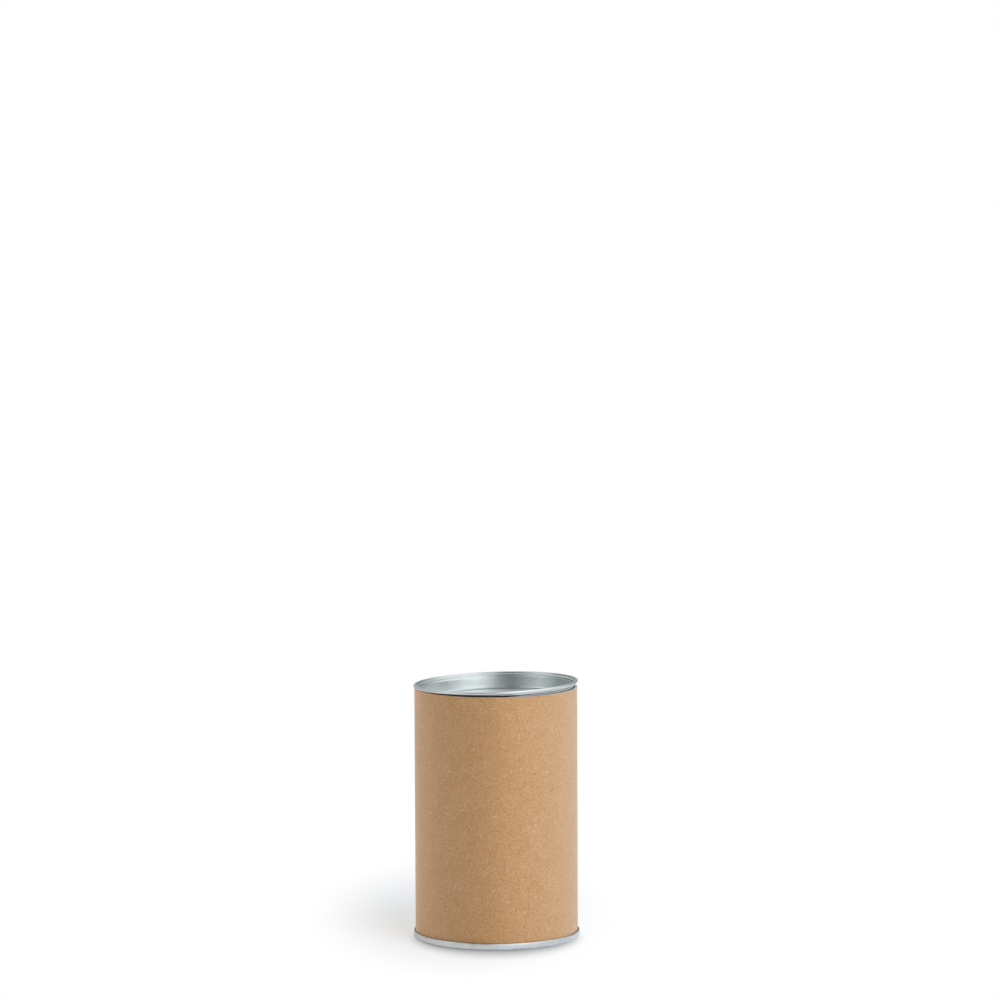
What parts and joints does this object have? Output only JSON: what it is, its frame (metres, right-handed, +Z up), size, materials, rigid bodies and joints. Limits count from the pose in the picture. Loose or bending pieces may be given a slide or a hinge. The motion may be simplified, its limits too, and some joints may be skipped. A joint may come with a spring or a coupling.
{
  "type": "gift tube box",
  "caption": "Round paper can with a brown kraft wrap, a seamed tinplate bottom and a push-in tinplate pan lid that lifts off, resting askew.",
  "frame": {"origin": "middle of the ring that the can stands on", "axes": "+Z up along the tube, +X to the right and -Y towards the viewer of the picture"},
  "size_m": [0.0766, 0.0766, 0.1193],
  "materials": {
    "kraft_paper": "matt brown kraft, finely fibred",
    "tube_board": "raw grey board",
    "liner_paper": "smooth pale greaseproof",
    "tinplate": "satin tinplate",
    "sealing_rubber": "matt"
  },
  "bodies": {
    "can": {"kraft_wrap": "kraft_paper", "outer_board_ply": "tube_board", "inner_board_ply": "tube_board", "inner_liner": "liner_paper", "bottom_end": "tinplate", "sealing_compound": "sealing_rubber"},
    "lid": {"plug_lid": "tinplate"}
  },
  "joints": [
    {"name": "lid_lift", "type": "slide", "parent": "can", "child": "lid", "axis": [0, 0, 1], "range_m": [0, 0.06]}
  ]
}
